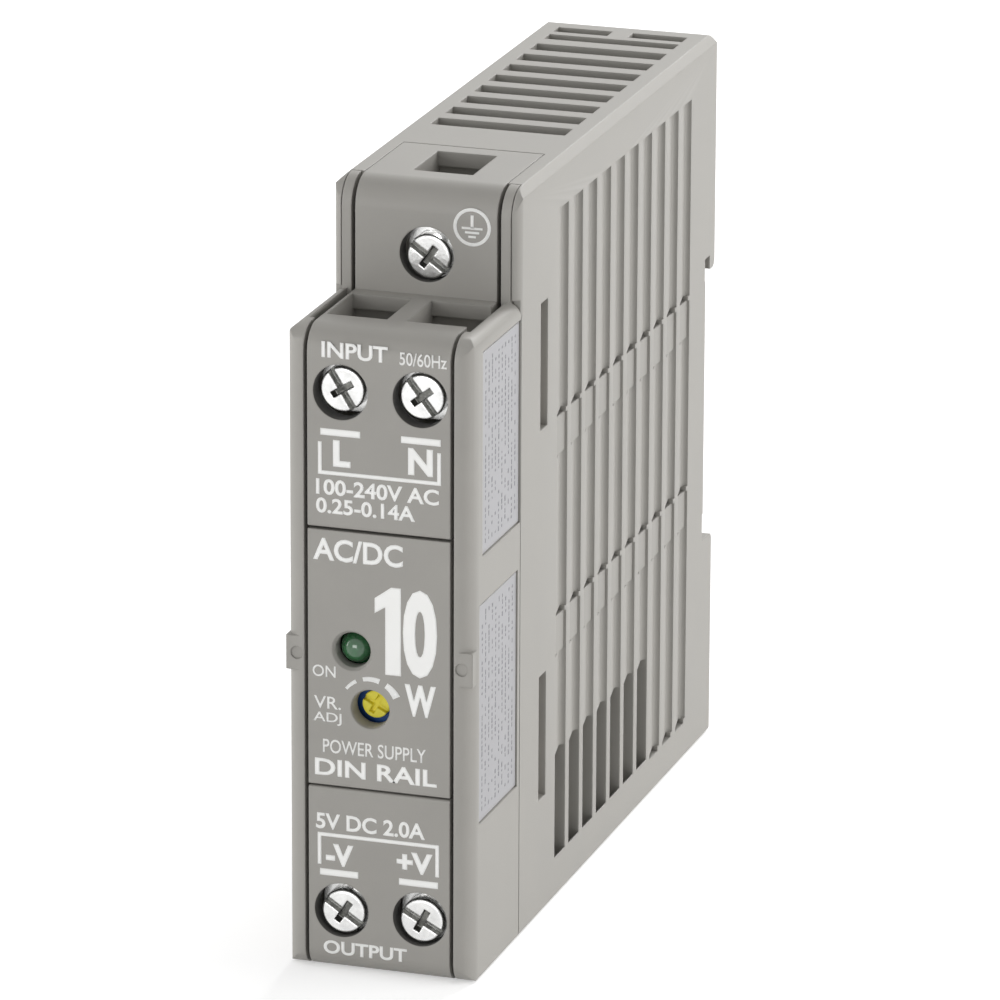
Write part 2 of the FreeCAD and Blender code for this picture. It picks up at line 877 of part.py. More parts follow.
def adjuster_rotor():
    """Cross-slotted rotor on a short spindle."""
    x = adjuster_x
    z = adjuster_height
    top = rotor_sink
    under = top + rotor_thickness
    disc = rod(rotor_radius, V(x, top, z), V(x, under, z))
    spindle = rod(spindle_radius, V(x, under - 0.1, z), V(x, under + spindle_length, z))
    slot = block(span(x, 2 * rotor_radius + 1), (top - 1, top + rotor_slot_depth), span(z, rotor_slot))
    cross = block(span(x, rotor_slot), (top - 1, top + rotor_slot_depth), span(z, 2 * rotor_radius - 0.8))
    recess = slot.fuse(cross)
    recess.rotate(V(x, 0, z), V(0, 1, 0), 28)
    return disc.fuse(spindle).cut(recess)


# --- Rail latch ---------------------------------------------------------------


def din_latch():
    """Sliding latch whose nose holds the lower edge of the rail."""
    body = (latch_base_gap, latch_top - 0.1)
    wing = block(span(0, latch_width), (latch_front, latch_front + latch_wing_thickness), body)
    stem = block(span(0, latch_stem_width), (latch_front, latch_front + latch_thickness), body)
    rail_low = rail_centre_height - rail_height / 2 + rail_edge_play / 2
    back = latch_front + latch_thickness
    nose_front = back - latch_nose_thickness
    nose = prism("yz", [
        (nose_front, latch_top - 1),
        (nose_front, rail_low + latch_nose_reach, 0.2),
        (nose_front + 0.7, rail_low + latch_nose_reach, 0.2),
        (back, latch_top + 0.4),
        (back, latch_top - 1),
    ], -latch_stem_width / 2, latch_stem_width / 2)
    depths = (latch_front - 1, back + 1)
    window = block(span(0, latch_window_width), depths, (latch_window_low, latch_window_high))
    slot = block(span(0, latch_slot_width), depths, (latch_slot_low, latch_slot_low + latch_slot_height))
    return joined([wing, stem, nose]).cut([window, slot])


def latch_spring():
    """Compression spring between the case's peg and the top of the latch's window."""
    low = latch_window_low + latch_play + latch_peg_height + spring_end_gap
    high = latch_window_high - spring_end_gap
    y = latch_front + latch_thickness / 2
    bottom = low + spring_wire_radius
    height = high - low - 2 * spring_wire_radius
    helix = Part.makeHelix(height / spring_turns, height, spring_radius)
    helix.translate(V(0, y, bottom))
    start = V(spring_radius, y, bottom)
    section = Part.Wire(Part.makeCircle(spring_wire_radius, start, V(0, 1, 0)))
    return Part.Wire(helix.Edges).makePipeShell([section], True, True)


# --- Circuit board ------------------------------------------------------------


def main_board():
    """Upright board with a shoulder below the ground terminal and a tongue to the front."""
    rear = cavity_back - board_rear_gap
    top = case_height - rear_wall - board_top_gap
    outline = [
        (board_front, board_low),
        (rear, board_low),
        (rear, top),
        (board_shoulder, top),
        (board_shoulder, board_shoulder_height),
        (board_front, board_shoulder_height),
        (board_front, board_tongue_high),
        (board_tongue_front, board_tongue_high),
        (board_tongue_front, board_tongue_low),
        (board_front, board_tongue_low),
    ]
    solid = prism("yz", outline, board_back, board_face)
    drills = []
    for depth, height in board_holes:
        drills.append(rod(lead_radius + lead_hole_clearance, V(board_back - 1, depth, height),
                          V(board_face + 1, depth, height)))
    return solid.cut(drills)


def shield_sheet():
    """Insulating sheet between the parts and the vented side wall."""
    outer = inner_half - shield_gap
    return block((outer - shield_thickness, outer), (lap_depth + 1, cavity_back - board_rear_gap),
                 (board_low, case_height - rear_wall - board_top_gap))


def with_leads(body, places):
    """A component with straight leads at (depth, height) places."""
    start = board_face + standoff + 0.5
    return joined([body] + [lead(depth, height, start) for depth, height in places])


def above_board(height):
    """Low and high X of a component of this height standing on the board."""
    return (board_face + standoff, board_face + standoff + height)


def fuse_link():
    """Round fuse lying along the height."""
    middle = board_face + standoff + 2.2
    body = rod(2.1, V(middle, 24, 45), V(middle, 24, 58))
    ends = [rod(2.2, V(middle, 24, low), V(middle, 24, low + 2.5)) for low in (44, 56.5)]
    feet = [lead(24, 45, middle), lead(24, 58, middle)]
    return joined([body] + ends + feet)


def varistor():
    """Disc surge absorber with a rounded rim, standing on two leads."""
    middle = board_face + standoff + 5.2
    body = rod(4.6, V(middle, 29.5, 54), V(middle, 33, 54))
    body = body.makeFillet(0.8, [edge for edge in body.Edges if len(edge.Vertexes) == 1])
    return joined([body, lead(31.2, 51.5, middle), lead(31.2, 56.5, middle)])


def disc_part(depth, height, radius, thickness):
    """Ceramic disc on two leads."""
    middle = board_face + standoff + radius + 0.5
    low = V(middle, depth - thickness / 2, height)
    high = V(middle, depth + thickness / 2, height)
    body = rod(radius, low, high)
    spread = radius * 0.6
    return joined([body, lead(depth, height - spread, middle), lead(depth, height + spread, middle)])


def box_part(depths, heights, tall, radius, leads):
    """Moulded box component with rounded upright edges."""
    outline = [
        (depths[0], heights[0], radius),
        (depths[1], heights[0], radius),
        (depths[1], heights[1], radius),
        (depths[0], heights[1], radius),
    ]
    low, high = above_board(tall)
    return with_leads(prism("yz", outline, low, high), leads)


def can_part(depth, height, radius, tall, spread):
    """Round electrolytic capacitor standing on the board, with a rolled groove."""
    low, high = above_board(tall)
    can = rod(radius, V(low, depth, height), V(high, depth, height))
    groove = Part.makeTorus(radius, 0.35, V(low + 1.6, depth, height), V(1, 0, 0))
    can = can.cut(groove)
    return with_leads(can, [(depth - spread, height), (depth + spread, height)])


def bulk_capacitor():
    """Large capacitor lying along the depth."""
    radius = 6.2
    middle = board_face + standoff + radius
    can = rod(radius, V(middle, 60, 46), V(middle, 84, 46))
    groove = Part.makeTorus(radius, 0.4, V(middle, 62, 46), V(0, 1, 0))
    can = can.cut(groove)
    feet = []
    for offset in (-2.5, 2.5):
        height = 46 + offset
        feet.append(rod(lead_radius, V(middle, 60.2, height), V(middle, 58.4, height)))
        feet.append(Part.makeSphere(lead_radius, V(middle, 58.4, height)))
        feet.append(lead(58.4, height, middle))
    return joined([can] + feet)


def ring_core(depth, height, outer, inner, tall):
    """Ferrite ring lying flat over the board."""
    low, high = above_board(tall)
    low += 0.9
    ring = rod(outer, V(low, depth, height), V(high, depth, height))
    return ring.cut(rod(inner, V(low - 1, depth, height), V(high + 1, depth, height)))


def ring_winding(depth, height, outer, inner, tall, arcs):
    """Coils wrapped round a ferrite ring over the given (start, sweep) arcs in degrees."""
    low, high = above_board(tall)
    low += 0.9
    gap = 0.1
    wall = 0.7
    outside = rod(outer + gap + wall, V(low - gap - wall, depth, height),
                  V(high + gap + wall, depth, height))
    outside = outside.cut(rod(inner - gap - wall, V(low - 3, depth, height), V(high + 3, depth, height)))
    core_space = rod(outer + gap, V(low - gap, depth, height), V(high + gap, depth, height))
    core_space = core_space.cut(rod(inner - gap, V(low - 3, depth, height), V(high + 3, depth, height)))
    sleeve = outside.cut(core_space)
    coils = []
    for start, sweep in arcs:
        wedge = Part.makeCylinder(outer + 5, tall + 8, V(low - 4, depth, height), V(1, 0, 0), sweep)
        wedge.rotate(V(low, depth, height), V(1, 0, 0), start)
        coils.append(sleeve.common(wedge))
    return coils


def choke_core():
    return ring_core(*choke_ring)


def choke_windings():
    return Part.Compound(ring_winding(*choke_ring, ((20, 140), (200, 140))))


def filter_coil_core():
    return ring_core(*filter_ring)


def filter_coil_winding():
    return Part.Compound(ring_winding(*filter_ring, ((0, 300),)))


def transformer_core():
    """Pair of E-shaped ferrite halves: outer frame with a round centre leg."""
    low, high = above_board(transformer_tall)
    middle = (low + high) / 2
    d0, d1 = transformer_depths
    h0, h1 = transformer_heights
    frame = block(span(middle, 6.0), (d0, d1), (h0, h1))
    window = block(span(middle, 8.0), (d0 + 2.6, d1 - 2.6), (h0 + 3.2, h1 - 3.2))
    centre = (d0 + d1) / 2
    leg = rod(2.6, V(middle, centre, h0 + 1), V(middle, centre, h1 - 1))
    return joined([frame.cut(window), leg])


def transformer_bobbin():
    """Moulded bobbin with two flanges round the centre leg and a row of pins."""
    low, high = above_board(transformer_tall)
    middle = (low + high) / 2
    d0, d1 = transformer_depths
    h0, h1 = transformer_heights
    centre = (d0 + d1) / 2
    inside = (h0 + bobbin_inset, h1 - bobbin_inset)
    tube = rod(3.6, V(middle, centre, inside[0]), V(middle, centre, inside[1]))
    flanges = []
    for height in (inside[0], inside[1] - bobbin_flange):
        flanges.append(block(span(middle, 13.0), (d0 + 2.8, d1 - 2.8), (height, height + bobbin_flange)))
    bore = rod(2.75, V(middle, centre, h0), V(middle, centre, h1))
    pins = []
    for height in (inside[0] + 0.4, inside[1] - 0.4):
        for offset in (-4.0, 0.0, 4.0):
            pins.append(lead(centre + offset, height, low + 1.0))
    return joined([tube] + flanges).cut(bore).fuse(pins).removeSplitter()


def transformer_winding():
    """Taped coil between the bobbin's flanges."""
    low, high = above_board(transformer_tall)
    middle = (low + high) / 2
    d0, d1 = transformer_depths
    h0, h1 = transformer_heights
    centre = (d0 + d1) / 2
    end = bobbin_inset + bobbin_flange + 0.1
    inside = (h0 + end, h1 - end)
    coil = rod(5.5, V(middle, centre, inside[0]), V(middle, centre, inside[1]))
    return coil.cut(rod(3.7, V(middle, centre, inside[0] - 1), V(middle, centre, inside[1] + 1)))


def heat_sink(depth, heights, tall):
    """Aluminium plate standing on the board, with a folded top and two feet."""
    low, high = above_board(tall)
    plate = block((low, high), (depth, depth + 1.4), heights)
    fold = block((high - 1.4, high), (depth, depth + 5.0), heights)
    feet = [lead(depth + 0.7, heights[0] + 2, low + 0.5), lead(depth + 0.7, heights[1] - 2, low + 0.5)]
    return joined([plate, fold] + feet)


def power_device(depth, height):
    """Flat moulded power part with a bare tab, against the front of a heat sink."""
    low, high = above_board(11.5)
    body = block((low + 3.0, high - 3.0), (depth - 3.6, depth - 0.1), span(height, 9.0))
    tab = block((high - 3.2, high), (depth - 1.3, depth - 0.1), span(height, 9.0))
    legs = [lead(depth - 1.6, height + offset, low + 3.2) for offset in (-2.54, 0.0, 2.54)]
    return joined([body, tab] + legs)


def resistors():
    """Axial resistors, one solid each, lying along the height."""
    middle = board_face + standoff + 1.3
    solids = []
    for depth, height in ((64, 30), (68, 30), (72, 30), (38, 8), (84, 62), (84, 74)):
        body = rod(0.95, V(middle, depth, height), V(middle, depth, height + 5))
        caps = [rod(1.15, V(middle, depth, height), V(middle, depth, height + 1.2)),
                rod(1.15, V(middle, depth, height + 3.8), V(middle, depth, height + 5))]
        feet = [lead(depth, height + 0.6, middle), lead(depth, height + 4.4, middle)]
        solids.append(joined([body] + caps + feet))
    return Part.Compound(solids)


def output_capacitors():
    """Two output capacitors, one solid each."""
    return Part.Compound([can_part(31.5, 9.5, 4.0, 12.5, 1.7), can_part(31.5, 19.5, 4.0, 12.5, 1.7)])


# --- Build --------------------------------------------------------------------

save(rear_case(), "rear_case")
save(front_case(), "front_case")
save(input_terminal_block(), "input_terminal_block")
save(name_panel(), "name_panel")
save(output_terminal_block(), "output_terminal_block")
save(label(upper_label), "upper_label")
save(label(lower_label), "lower_label")

for place in terminal_places():
    save(terminal_screw(place), "screw_" + place["name"])
    save(clamp_washer(place), "clamp_washer_" + place["name"])
    save(contact_strip(place), "contact_strip_" + place["name"])

save(lamp(), "indicator_lamp")
save(adjuster_body(), "adjuster_body")
save(adjuster_rotor(), "adjuster_rotor")
save(din_latch(), "din_latch")
save(latch_spring(), "latch_spring")

save(fuse_link(), "fuse")
save(varistor(), "varistor")
save(disc_part(37.5, 50.0, 3.6, 2.6), "thermistor")
save(disc_part(78.0, 8.6, 3.0, 2.2), "safety_capacitor")
save(box_part((52.0, 64.0), (57.0, 70.0), 11.5, 0.5, [(58, 59), (58, 68)]), "filter_capacitor")
save(choke_core(), "choke_core")
save(choke_windings(), "choke_windings")
rectifier_leads = [(69, 62), (69, 68), (75, 62), (75, 68)]
save(box_part((67.0, 77.0), (60.0, 70.0), 4.0, 0.4, rectifier_leads), "bridge_rectifier")
save(bulk_capacitor(), "bulk_capacitor")
save(transformer_core(), "transformer_core")
save(transformer_bobbin(), "transformer_bobbin")
save(transformer_winding(), "transformer_winding")
save(heat_sink(80.0, (14.0, 34.0), 12.5), "switch_heat_sink")
save(power_device(80.0, 24.0), "switching_transistor")
save(heat_sink(60.5, (76.0, 84.5), 12.5), "diode_heat_sink")
save(filter_coil_core(), "filter_coil_core")
save(filter_coil_winding(), "filter_coil_winding")
save(output_capacitors(), "output_capacitors")
optocoupler_leads = [(63, 11), (65.6, 11), (63, 15.5), (65.6, 15.5)]
save(box_part((62.0, 66.6), (10.0, 16.5), 3.6, 0.2, optocoupler_leads), "optocoupler")
chip_leads = [(70, 11), (74.4, 11), (70, 19), (74.4, 19)]
save(box_part((69.0, 75.4), (10.0, 20.0), 3.3, 0.2, chip_leads), "control_chip")
save(resistors(), "resistors")

save(main_board(), "main_board")
save(shield_sheet(), "shield_sheet")
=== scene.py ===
import bmesh
import bpy
import json
import math
from mathutils import Matrix, Vector


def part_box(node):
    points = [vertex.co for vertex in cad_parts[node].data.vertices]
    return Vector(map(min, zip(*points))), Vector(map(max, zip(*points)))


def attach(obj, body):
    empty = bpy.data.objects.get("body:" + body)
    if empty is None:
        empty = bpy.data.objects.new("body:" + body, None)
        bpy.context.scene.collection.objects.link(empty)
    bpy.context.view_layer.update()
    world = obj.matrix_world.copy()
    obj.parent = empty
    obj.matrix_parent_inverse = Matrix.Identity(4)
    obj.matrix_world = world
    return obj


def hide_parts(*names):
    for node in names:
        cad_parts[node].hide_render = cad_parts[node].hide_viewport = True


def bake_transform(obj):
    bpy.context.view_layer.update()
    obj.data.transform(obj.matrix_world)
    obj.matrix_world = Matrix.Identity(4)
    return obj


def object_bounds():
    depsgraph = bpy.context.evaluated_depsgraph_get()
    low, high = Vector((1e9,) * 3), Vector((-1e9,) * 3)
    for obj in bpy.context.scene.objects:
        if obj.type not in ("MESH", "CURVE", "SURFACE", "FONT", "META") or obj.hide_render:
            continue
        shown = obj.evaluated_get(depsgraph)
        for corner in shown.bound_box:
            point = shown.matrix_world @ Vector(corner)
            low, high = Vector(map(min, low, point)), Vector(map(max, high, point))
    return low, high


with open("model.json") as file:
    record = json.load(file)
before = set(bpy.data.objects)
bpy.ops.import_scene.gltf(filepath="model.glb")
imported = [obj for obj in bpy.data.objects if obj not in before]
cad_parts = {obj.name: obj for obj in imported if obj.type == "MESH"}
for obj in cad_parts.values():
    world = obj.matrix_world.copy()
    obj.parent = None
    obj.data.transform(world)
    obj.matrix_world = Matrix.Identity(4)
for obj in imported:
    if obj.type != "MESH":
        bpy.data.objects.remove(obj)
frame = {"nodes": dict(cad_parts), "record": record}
cad_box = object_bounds()
bodies = frame["record"]["behaviour"]["bodies"]
MM = 0.001


# ---- Studio -----------------------------------------------------------------
# The unit stands on its base on a white table in a white tent. The light is
# soft from all round, with broad lamps on the right and above from behind, and
# weaker ones on the left and low in front. The camera looks down from the right.

low_corner = cad_box[0]
scene = bpy.context.scene
scene.view_settings.view_transform = "Standard"

camera_heading = math.radians(18.02)
camera_height = math.radians(17.461)
camera_roll = math.radians(0.219)
camera_distance = 917.185 * MM
camera_aim = Vector((-1.03, -43.70, -1.20)) * MM
camera_data = bpy.data.cameras.new("camera")
camera_data.sensor_width = 36.0
camera_data.lens = 277.2
camera_data.shift_x = -0.0001
camera_data.shift_y = -0.0017
camera_data.clip_start = 0.01
camera_data.clip_end = 20.0
camera = bpy.data.objects.new("camera", camera_data)
camera.matrix_world = (
    Matrix.Translation(camera_aim)
    @ Matrix.Rotation(camera_heading, 4, "Z")
    @ Matrix.Rotation(math.pi / 2 - camera_height, 4, "X")
    @ Matrix.Rotation(camera_roll, 4, "Z")
    @ Matrix.Translation((0, 0, camera_distance))
)
scene.collection.objects.link(camera)
scene.camera = camera


def add(tree, kind, inputs=None, **settings):
    """Add a node with its settings, and give its inputs values or links."""
    node = tree.nodes.new(kind)
    for name, value in settings.items():
        setattr(node, name, value)
    for name, value in (inputs or {}).items():
        if isinstance(value, bpy.types.NodeSocket):
            tree.links.new(value, node.inputs[name])
        else:
            node.inputs[name].default_value = value
    return node


def seen_directly(tree):
    """1 for a ray from the camera, off a shiny surface or through glass."""
    path = add(tree, "ShaderNodeLightPath")
    straight, mirrored, through = (path.outputs[ray] for ray in
                                   ("Is Camera Ray", "Is Glossy Ray", "Is Transmission Ray"))
    first = add(tree, "ShaderNodeMath", {0: straight, 1: mirrored}, operation="MAXIMUM")
    both = add(tree, "ShaderNodeMath", {0: first.outputs[0], 1: through}, operation="MAXIMUM")
    return both.outputs[0]


tent_light = 0.42
world = bpy.data.worlds.new("tent")
scene.world = world
world.use_nodes = True
world.node_tree.nodes.clear()
seen = seen_directly(world.node_tree)
strength = add(world.node_tree, "ShaderNodeMapRange", {0: seen, 3: tent_light, 4: 1.0})
tent = add(world.node_tree, "ShaderNodeBackground",
           {"Color": (1, 1, 1, 1), "Strength": strength.outputs[0]})
add(world.node_tree, "ShaderNodeOutputWorld", {"Surface": tent.outputs[0]})


unit_middle = Vector((0, -0.04, 0))


def lamp(name, place, size, power):
    """Square softbox at a place in metres, turned to the middle of the unit."""
    data = bpy.data.lights.new(name, "AREA")
    data.size = size
    data.energy = power
    softbox = bpy.data.objects.new(name, data)
    softbox.location = place
    softbox.rotation_euler = (unit_middle - Vector(place)).to_track_quat("-Z", "Y").to_euler()
    scene.collection.objects.link(softbox)


lamp("lamp_right", (1.25, 0.32, 0.26), 0.8, 10.5)
lamp("lamp_top", (0.15, 1.18, 0.86), 0.6, 14.2)
lamp("lamp_front", (-0.15, -1.25, 0.02), 0.6, 5.4)
lamp("lamp_left", (-1.00, -0.30, 0.30), 0.7, 4.5)

table_size = 6.0
table_gap = 0.05 * MM
table_glow = 0.42
table_mesh = bpy.data.meshes.new("table")
half = table_size / 2
table_level = low_corner.z - table_gap
table_corners = [(x, y, table_level) for x, y in ((-half, -half), (half, -half), (half, half), (-half, half))]
table_mesh.from_pydata(table_corners, [], [(0, 1, 2, 3)])
table = bpy.data.objects.new("table", table_mesh)
scene.collection.objects.link(table)
table_finish = bpy.data.materials.new("white_table")
table_finish.use_nodes = True
tree = table_finish.node_tree
tree.nodes.clear()
paint = add(tree, "ShaderNodeBsdfDiffuse", {"Color": (0.84, 0.84, 0.84, 1)})
glow = add(tree, "ShaderNodeEmission", {"Color": (1, 1, 1, 1), "Strength": table_glow})
nothing = add(tree, "ShaderNodeEmission", {"Strength": 0.0})
glow_seen = add(tree, "ShaderNodeMixShader",
                {0: seen_directly(tree), 1: nothing.outputs[0], 2: glow.outputs[0]})
table_top = add(tree, "ShaderNodeAddShader", {0: paint.outputs[0], 1: glow_seen.outputs[0]})
add(tree, "ShaderNodeOutputMaterial", {"Surface": table_top.outputs[0]})
table_mesh.materials.append(table_finish)


# ---- Grey mouldings ---------------------------------------------------------
# The rear case, the front case, the two terminal blocks and the name panel are
# injection moulded in one warm grey flame-retardant plastic with a fine spark
# texture. The edges are a little rounded and polished by handling.


def socket(group, name, kind, way="INPUT", value=None):
    """Give a shader group an input or an output."""
    made = group.interface.new_socket(name=name, in_out=way, socket_type="NodeSocket" + kind)
    if value is not None:
        made.default_value = value


def surface_grain():
    """Group: fine grain, broad patches and the height of the grain."""
    group = bpy.data.node_groups.new("surface_grain", "ShaderNodeTree")
    socket(group, "Place", "Vector")
    socket(group, "Grain", "Float", value=5000.0)
    socket(group, "Patch", "Float", value=120.0)
    for name in ("Grain", "Patch", "Height"):
        socket(group, name, "Float", "OUTPUT")
    given = add(group, "NodeGroupInput")
    place, grain, patch = (given.outputs[name] for name in ("Place", "Grain", "Patch"))
    fine = add(group, "ShaderNodeTexNoise",
               {"Vector": place, "Scale": grain, "Detail": 2.0, "Roughness": 0.6})
    broad = add(group, "ShaderNodeTexNoise",
                {"Vector": place, "Scale": patch, "Detail": 4.0, "Roughness": 0.55})
    pits = add(group, "ShaderNodeTexVoronoi", {"Vector": place, "Scale": grain})
    height = add(group, "ShaderNodeMath", {0: fine.outputs[0], 1: pits.outputs["Distance"]},
                 operation="MULTIPLY")
    patches = add(group, "ShaderNodeMapRange", {0: broad.outputs[0], 1: 0.3, 2: 0.7})
    add(group, "NodeGroupOutput", {"Grain": fine.outputs[0], "Patch": patches.outputs[0],
                                   "Height": height.outputs[0]})
    return group


def edge_mask():
    """Group: the normal rounded over the given width, and 1 along sharp edges."""
    group = bpy.data.node_groups.new("edge_mask", "ShaderNodeTree")
    socket(group, "Width", "Float", value=0.2 * MM)
    socket(group, "Edge", "Float", "OUTPUT")
    socket(group, "Normal", "Vector", "OUTPUT")
    given = add(group, "NodeGroupInput")
    straight = add(group, "ShaderNodeNewGeometry").outputs["Normal"]
    rounded = add(group, "ShaderNodeBevel", {"Radius": given.outputs["Width"]}, samples=4)
    turn = add(group, "ShaderNodeVectorMath", {0: straight, 1: rounded.outputs[0]}, operation="DOT_PRODUCT")
    edge = add(group, "ShaderNodeMapRange", {0: turn.outputs["Value"], 1: 0.995, 2: 0.80})
    add(group, "NodeGroupOutput", {"Edge": edge.outputs[0], "Normal": rounded.outputs[0]})
    return group


grain_group = surface_grain()
edge_group = edge_mask()


def finish(name, colour, roughness, metal=0.0, grain=0.16, relief=0.010, patch=9.0, uneven=0.06,
           worn=None, wear=0.3, wear_width=0.25, **shader_values):
    """Material with grain, relief, patches and worn edges in mm, and other values of the shader.

    uneven is how far the colour strays, and wear how much of the worn colour shows on edges."""
    material = bpy.data.materials.new(name)
    material.use_nodes = True
    tree = material.node_tree
    tree.nodes.clear()
    place = add(tree, "ShaderNodeTexCoord").outputs["Object"]
    surface = add(tree, "ShaderNodeGroup", node_tree=grain_group)
    tree.links.new(place, surface.inputs["Place"])
    surface.inputs["Grain"].default_value = 1 / (grain * MM)
    surface.inputs["Patch"].default_value = 1 / (patch * MM)
    patch_share = 0.6
    darker = [c * (1 - uneven) for c in colour] + [1]
    lighter = [min(1, c * (1 + uneven)) for c in colour] + [1]
    tone = add(tree, "ShaderNodeMath", {0: surface.outputs["Patch"], 1: patch_share}, operation="MULTIPLY")
    speckle = add(tree, "ShaderNodeMath",
                  {0: surface.outputs["Grain"], 1: 1 - patch_share, 2: tone.outputs[0]},
                  operation="MULTIPLY_ADD")
    base = add(tree, "ShaderNodeMix", {0: speckle.outputs[0], 6: darker, 7: lighter}, data_type="RGBA")
    edge = add(tree, "ShaderNodeGroup", node_tree=edge_group)
    edge.inputs["Width"].default_value = wear_width * MM
    amount = add(tree, "ShaderNodeMath", {0: edge.outputs["Edge"], 1: wear}, operation="MULTIPLY")
    edge_colour = [min(1, c) for c in (worn or [c * 1.25 for c in colour])] + [1]
    coloured = add(tree, "ShaderNodeMix", {0: amount.outputs[0], 6: base.outputs[2], 7: edge_colour},
                   data_type="RGBA")
    rough = add(tree, "ShaderNodeMapRange",
                {0: speckle.outputs[0], 3: roughness * 0.88, 4: min(1.0, roughness * 1.12)})
    bump = add(tree, "ShaderNodeBump", {
        "Strength": 1.0, "Distance": relief * MM,
        "Height": surface.outputs["Height"], "Normal": edge.outputs["Normal"],
    })
    shader = add(tree, "ShaderNodeBsdfPrincipled", {
        "Base Color": coloured.outputs[2], "Metallic": metal,
        "Roughness": rough.outputs[0], "Normal": bump.outputs[0],
    })
    for key, value in shader_values.items():
        shader.inputs[key.replace("_", " ")].default_value = value
    add(tree, "ShaderNodeOutputMaterial", {"Surface": shader.outputs[0]})
    return material


def body_of(node):
    """The body that a node moves with."""
    return next(body for body, members in bodies.items() if node in members)


def evaluated_mesh(thing):
    """The mesh of an object, with its modifiers applied."""
    return bpy.data.meshes.new_from_object(thing.evaluated_get(bpy.context.evaluated_depsgraph_get()))


merge_distance = 0.0005 * MM
flat_angle = math.radians(0.5)


def refined(node, materials, choose=None, rounding=0.0, sharp=35.0, rides=True):
    """Merged, smooth-shaded copy of a CAD node that stands for it, its edges rounded by so many mm.

    choose(middle, normal) gives the number of the material of a face, from its middle in mm."""
    mesh = frame["nodes"][node].data.copy()
    mesh.name = node + "_finished"
    mesh.materials.clear()
    for material in materials:
        mesh.materials.append(material)
    shape = bmesh.new()
    shape.from_mesh(mesh)
    bmesh.ops.remove_doubles(shape, verts=shape.verts, dist=merge_distance)
    if rounding:
        bmesh.ops.dissolve_limit(shape, angle_limit=flat_angle, verts=shape.verts, edges=shape.edges)
    for edge in shape.edges:
        edge.smooth = bool(rounding) or edge.calc_face_angle(math.pi) < math.radians(sharp)
    for face in shape.faces:
        face.smooth = True
        face.material_index = choose(face.calc_center_median() / MM, face.normal) if choose else 0
    shape.to_mesh(mesh)
    shape.free()
    piece = bpy.data.objects.new(node + "_finished", mesh)
    scene.collection.objects.link(piece)
    if rounding:
        bevel = piece.modifiers.new("rounding", "BEVEL")
        bevel.width = rounding * MM
        bevel.segments = 2
        bevel.limit_method = "ANGLE"
        bevel.angle_limit = math.radians(sharp)
        bevel.use_clamp_overlap = False
    flatten = piece.modifiers.new("flat_faces", "WEIGHTED_NORMAL")
    flatten.weight = 100
    flatten.keep_sharp = True
    piece.data = evaluated_mesh(piece)
    piece.modifiers.clear()
    if rides:
        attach(piece, body_of(node))
    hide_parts(node)
    return piece


moulding_grey = (0.336, 0.324, 0.300)
case_plastic = finish("case_plastic", moulding_grey, 0.52, grain=0.17, relief=0.012, wear=0.22)
panel_plastic = finish("panel_plastic", [c * 0.97 for c in moulding_grey], 0.50,
                       grain=0.15, relief=0.010, wear=0.2)
refined("rear_case", [case_plastic])
refined("front_case", [case_plastic])
# The walls of the screw bores get a much darker copy of the moulding grey: painted shade round the screw heads,
# not a different plastic.
bore_painted_shade = finish("bore_painted_shade", [c * 0.22 for c in moulding_grey], 0.6,
                      grain=0.15, relief=0.010, wear=0.0)

# The walls of a bore, in mm from the axis and behind the front of the screw's head
bore_reach = 3.87
bore_depths = (-0.55, 2.2)


def head_of(screw):
    """The middle of the front of a screw's head, in mm."""
    low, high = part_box(screw)
    return Vector(((low.x + high.x) / 2, low.y, (low.z + high.z) / 2)) / MM


def from_head(point, head):
    """How far a point is behind the front of a screw's head, and how far from its axis."""
    away = point - head
    return away.y, math.hypot(away.x, away.z)


def screw_bores(screws):
    """Chooser of the walls of the round bores that these screws' heads sit in, which get the painted shade."""
    heads = [head_of(screw) for screw in screws]

    def inside_bore(middle, normal):
        for head in heads:
            depth, reach = from_head(middle, head)
            if bore_depths[0] < depth < bore_depths[1] and reach < bore_reach and abs(normal.y) < 0.5:
                return 1
        return 0

    return inside_bore


refined("name_panel", [panel_plastic])
refined("input_terminal_block", [panel_plastic, bore_painted_shade],
        screw_bores(["screw_ground", "screw_live", "screw_neutral"]))
refined("output_terminal_block", [panel_plastic, bore_painted_shade], screw_bores(["screw_minus", "screw_plus"]))


# ---- Printing on the front --------------------------------------------------
# White screen printing on the two terminal blocks and the name panel: the
# terminal signs, brackets, ratings in general form and the adjuster's arc.
# The ink stands a hundredth of a millimetre proud.

ink = finish("white_ink", (0.93, 0.93, 0.91), 0.42, grain=0.10, relief=0.003, uneven=0.03, wear=0.0)
ink_thickness = 0.03
word_sink = 0.005
front_face = low_corner.y / MM
left_edge = low_corner.x / MM
base_level = low_corner.z / MM
setback_face = front_face + 16.7
ink_meshes = []


def printed(words, sides, middle, height, face=front_face, weight=0.0):
    """Words between two sides (from the left edge), centred on a height over the base, in mm."""
    curve = bpy.data.curves.new("words", "FONT")
    curve.body = words
    curve.offset = weight
    curve.extrude = 0.01
    curve.resolution_u = 4
    words_object = bpy.data.objects.new("words", curve)
    scene.collection.objects.link(words_object)
    mesh = evaluated_mesh(words_object)
    bpy.data.objects.remove(words_object)
    across = [v.co.x for v in mesh.vertices]
    up = [v.co.y for v in mesh.vertices]
    wide = (sides[1] - sides[0]) / (max(across) - min(across))
    tall = height / (max(up) - min(up))
    deep = ink_thickness / (2 * curve.extrude)
    for v in mesh.vertices:
        x = left_edge + sides[0] + (v.co.x - min(across)) * wide
        z = base_level + middle - height / 2 + (v.co.y - min(up)) * tall
        y = face + word_sink - v.co.z * deep
        v.co = (x * MM, y * MM, z * MM)
    ink_meshes.append(mesh)


